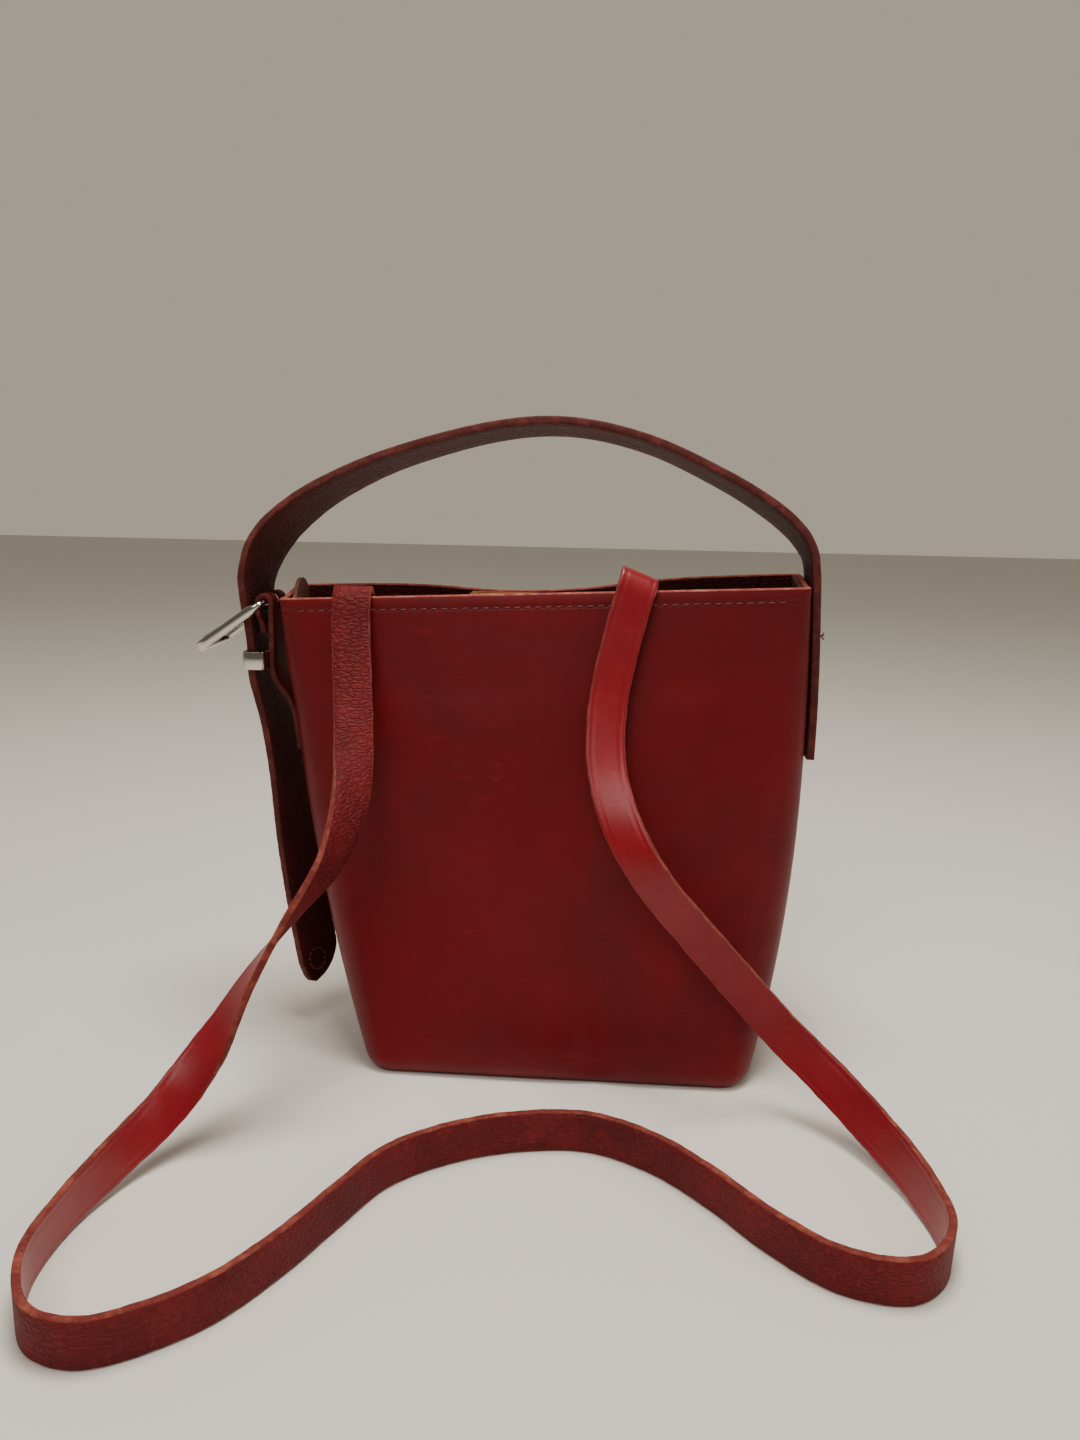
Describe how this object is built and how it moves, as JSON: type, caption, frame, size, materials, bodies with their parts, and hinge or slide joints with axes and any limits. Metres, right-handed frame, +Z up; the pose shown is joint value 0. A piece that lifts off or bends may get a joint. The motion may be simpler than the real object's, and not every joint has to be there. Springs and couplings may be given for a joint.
{
  "type": "bucket bag",
  "caption": "Small structured leather bucket bag with a buckled arched top handle, a long hanging strap end and a thin shoulder strap looped in front.",
  "frame": {"origin": "centre of the flat base, on the surface the bag stands on", "axes": "+Z up, the front faces -Y, +X to the right seen from the front"},
  "size_m": [0.2717, 0.2434, 0.2485],
  "materials": {
    "body_leather": "satin smooth full-grain leather, raw tan cut edges",
    "strap_leather": "satin smooth leather, creased edges",
    "flesh_leather": "matt brown-red suede-like flesh side",
    "tan_leather": "matt tan leather with raw edges",
    "board_fibre": "matt bonded leather board",
    "nickel": "polished nickel plate"
  },
  "bodies": {
    "bag": {"body_wrap": "body_leather", "base_board": "board_fibre", "facing_front": "flesh_leather", "facing_back": "flesh_leather", "handle_backing_left": "flesh_leather", "handle_backing_right": "flesh_leather", "closure_patch_front": "tan_leather", "closure_patch_back": "tan_leather", "snap_stud": "nickel", "snap_socket": "nickel", "snap_plate_front": "nickel", "snap_plate_back": "nickel", "strap_anchor_left": "flesh_leather", "strap_anchor_right": "flesh_leather", "handle_anchor": "strap_leather", "handle_run": "strap_leather", "buckle_tab": "strap_leather", "shoulder_strap": "strap_leather"},
    "handle": {"handle_arch": "strap_leather"},
    "tail": {"handle_tail": "strap_leather"},
    "frame": {"buckle_frame": "nickel"},
    "prong": {"buckle_prong": "nickel"},
    "keeper": {"keeper": "nickel"}
  },
  "joints": [
    {"name": "handle_swing", "type": "hinge", "parent": "bag", "child": "handle", "pos_m": [-0.1262, 0, 0.192], "axis": [0.9993, 0, 0.0387], "range_deg": [-60, 80]},
    {"name": "tail_swing", "type": "hinge", "parent": "bag", "child": "tail", "pos_m": [-0.1232, 0, 0.1472], "axis": [0, 1, 0], "range_deg": [-5, 70]},
    {"name": "frame_swing", "type": "hinge", "parent": "bag", "child": "frame", "pos_m": [-0.1191, 0, 0.177], "axis": [0, 1, 0], "range_deg": [-25, 0]},
    {"name": "prong_lift", "type": "hinge", "parent": "bag", "child": "prong", "pos_m": [-0.1191, 0, 0.177], "axis": [0, 1, 0], "range_deg": [0, 8]},
    {"name": "keeper_slide", "type": "slide", "parent": "bag", "child": "keeper", "axis": [0, 0, 1], "range_m": [-0.003, 0.003]}
  ]
}
